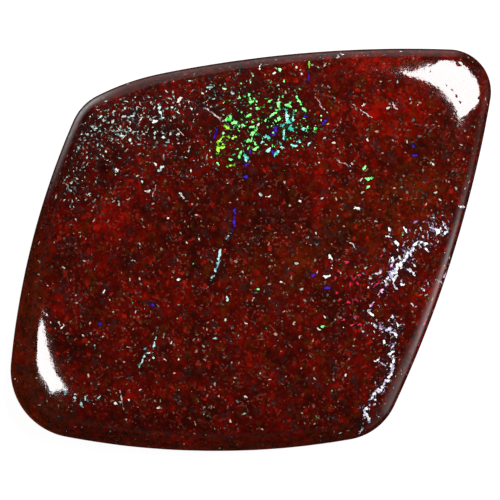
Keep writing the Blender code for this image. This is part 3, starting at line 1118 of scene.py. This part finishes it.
def stone_material():
    """Polished ironstone and opal on the face and the rim, and duller ironstone on the ground back."""
    material, graph, shader = new_material("polished_opal_matrix")
    straight = graph.scaled(graph.node("TexCoord").outputs["Object"], 1 / MM)
    tipped = graph.node(
        "VectorRotate", {"rotation_type": "EULER_XYZ"}, Vector=straight, Rotation=PATTERN_TIP,
    )
    solid = tipped.outputs[0]
    graph.fine = graph.noise(solid, FINEST)
    pattern, placed = bent_places(graph, straight, solid)

    ground = graph.attribute("ground")
    colour = graph.mix(ground, face_colour(graph, solid, pattern, placed), ground_colour(graph, solid))
    graph.feed(shader.inputs["Base Color"], colour)
    worn = graph.step(graph.noise(solid, WEAR_PATCHES), *WEAR_EDGE)
    polish = graph.add(POLISH, graph.times(worn, WEAR))
    dull = graph.add(GROUND_ROUGHNESS, graph.times(graph.attribute("hollow"), HOLLOW_ROUGHNESS))
    rough = graph.node("Mix", {"data_type": "FLOAT"})
    graph.feed(rough.inputs["Factor"], ground)
    graph.feed(rough.inputs["A"], polish)
    graph.feed(rough.inputs["B"], dull)
    graph.feed(shader.inputs["Roughness"], rough.outputs["Result"])
    shader.inputs["IOR"].default_value = REFRACTIVE_INDEX
    fine = graph.times(graph.fine, graph.add(FINE_BUMP, graph.times(ground, GROUND_BUMP)))
    lumps = graph.times(graph.noise(solid, POLISH_LUMPS), POLISH_BUMP)
    bump = graph.node("Bump", Height=graph.add(fine, lumps))
    bump.inputs["Distance"].default_value = MM
    graph.feed(shader.inputs["Normal"], bump.outputs["Normal"])
    return material


def add_stone():
    mesh = skin_mesh()
    mesh.materials.append(stone_material())
    stone = bpy.data.objects.new("polished_stone", mesh)
    bpy.context.scene.collection.objects.link(stone)
    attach(stone, "root")
    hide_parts("opal_stone")


# The studio, in metres from here on
FLOOR_SIZE = 4.0
FLOOR_DROP = 0.00002
FLOOR_COLOUR = (0.10, 0.10, 0.10, 1)
FLOOR_ROUGHNESS = 0.9
FLOOR_GLOW = 0.93
LIGHT_DISTANCE = 0.40
LENS = 200.0
SENSOR = 36.0
CLIP = (0.01, 10.0)
FRAME_WIDTH = PHOTO_SIZE * PIXEL * MM
FRAME_SHIFT = (-0.00005, -0.00001)

# Each light's direction round the stone and from overhead in degrees, its two sizes as shares of its
# distance, its roll in degrees and its radiance
SOFTBOXES = (
    ("key", 41.8, 46.2, 1.06, 0.36, -2.1, 20.0),
    ("side", 202.4, 52.5, 0.54, 0.186, -3.9, 20.0),
)

# Each pale card's direction round the stone and half its width in degrees, its lowest and highest as
# sines of elevation, the blur of its upper edge, and its radiance
CARDS = (
    (-25.0, 12.0, -0.70, -0.08, 0.36, 0.46),
    (-18.9, 4.5, -0.64, -0.34, 0.20, 0.90),
    (-20.0, 34.0, -0.66, -0.04, 0.36, 0.15),
    (138.0, 18.5, -0.80, -0.50, 0.22, 1.40),
    (98.0, 26.0, -0.84, -0.10, 0.10, 0.33),
)

# The blur of the cards' lower edges and, as shares of half a card's width, of their sides. The dark
# studio's radiance, how much its horizon adds, and between which heights above and below it does so.
LOW_BLUR = 0.10
SIDE_BLUR = (1.4, 0.6)
DARK_RADIANCE = 0.008
HORIZON_RADIANCE = 0.04
HORIZON_ABOVE = (0.5, 0.1)
HORIZON_BELOW = (-0.05, 0.1)


def add_floor():
    """A pale floor that lights the stone and that its polish doesn't mirror."""
    half = FLOOR_SIZE / 2
    corners = [(-half, -half, 0), (half, -half, 0), (half, half, 0), (-half, half, 0)]
    mesh = bpy.data.meshes.new("floor")
    mesh.from_pydata(corners, [], [(0, 1, 2, 3)])
    material, _, shader = new_material("pale_floor")
    shader.inputs["Base Color"].default_value = FLOOR_COLOUR
    shader.inputs["Roughness"].default_value = FLOOR_ROUGHNESS
    shader.inputs["Emission Color"].default_value = (1, 1, 1, 1)
    shader.inputs["Emission Strength"].default_value = FLOOR_GLOW
    mesh.materials.append(material)
    floor = bpy.data.objects.new("floor", mesh)
    floor.location.z = -FLOOR_DROP
    floor.visible_glossy = False
    bpy.context.scene.collection.objects.link(floor)


def add_softbox(name, around, overhead, size_across, size_up, roll, radiance):
    """A rectangular light that faces the stone."""
    turn, lean = math.radians(around), math.radians(overhead)
    level = math.sin(lean)
    direction = Vector((level * math.cos(turn), level * math.sin(turn), math.cos(lean)))
    data = bpy.data.lights.new(name, "AREA")
    data.shape = "RECTANGLE"
    data.size, data.size_y = size_across * LIGHT_DISTANCE, size_up * LIGHT_DISTANCE
    data.energy = radiance * math.pi * data.size * data.size_y
    light = bpy.data.objects.new(name, data)
    place = Matrix.Translation(direction * LIGHT_DISTANCE)
    facing = direction.to_track_quat("Z", "Y").to_matrix().to_4x4()
    light.matrix_world = place @ facing @ Matrix.Rotation(math.radians(roll), 4, "Z")
    bpy.context.scene.collection.objects.link(light)


def add_world():
    """A dark studio with a few pale cards low round the stone. The camera sees it white."""
    world = bpy.data.worlds.new("studio")
    world.use_nodes = True
    graph = Graph(world.node_tree)
    background = world.node_tree.nodes["Background"]
    direction = graph.node("TexCoord").outputs["Generated"]
    height = graph.node("SeparateXYZ", Vector=direction).outputs["Z"]
    level = graph.vector("NORMALIZE", graph.vector("MULTIPLY", direction, (1.0, 1.0, 0.0)))
    horizon = graph.times(graph.step(height, *HORIZON_ABOVE), graph.step(height, *HORIZON_BELOW))
    strength = graph.add(DARK_RADIANCE, graph.times(horizon, HORIZON_RADIANCE))
    for around, half_width, lowest, highest, blur, radiance in CARDS:
        turn, half = math.radians(around), math.radians(half_width)
        facing = graph.vector("DOT_PRODUCT", level, (math.cos(turn), math.sin(turn), 0.0))
        card = graph.step(facing, *(math.cos(half * side) for side in SIDE_BLUR))
        card = graph.times(card, graph.step(height, lowest - LOW_BLUR, lowest + LOW_BLUR))
        card = graph.times(card, graph.step(height, highest + blur, highest - blur))
        strength = graph.add(strength, graph.times(card, radiance))
    seen = graph.node("LightPath").outputs["Is Camera Ray"]
    graph.feed(background.inputs["Strength"], graph.larger(strength, seen))
    background.inputs["Color"].default_value = (1, 1, 1, 1)
    bpy.context.scene.world = world


def add_camera():
    """Straight above the stone, with the photograph's frame."""
    data = bpy.data.cameras.new("camera")
    data.lens, data.sensor_width = LENS, SENSOR
    data.clip_start, data.clip_end = CLIP
    camera = bpy.data.objects.new("camera", data)
    distance = FRAME_WIDTH * LENS / SENSOR
    camera.location = (*FRAME_SHIFT, GIRDLE_HEIGHT * MM + distance)
    bpy.context.scene.collection.objects.link(camera)
    bpy.context.scene.camera = camera


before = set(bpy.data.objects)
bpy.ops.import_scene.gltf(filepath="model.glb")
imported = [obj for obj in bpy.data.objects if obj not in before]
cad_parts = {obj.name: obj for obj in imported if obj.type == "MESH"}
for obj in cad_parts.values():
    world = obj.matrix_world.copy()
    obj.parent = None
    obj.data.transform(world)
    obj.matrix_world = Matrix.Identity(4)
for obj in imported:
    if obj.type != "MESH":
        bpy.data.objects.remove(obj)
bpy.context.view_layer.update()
add_stone()
add_floor()
for softbox in SOFTBOXES:
    add_softbox(*softbox)
add_world()
add_camera()
bpy.context.scene.view_settings.view_transform = "Standard"
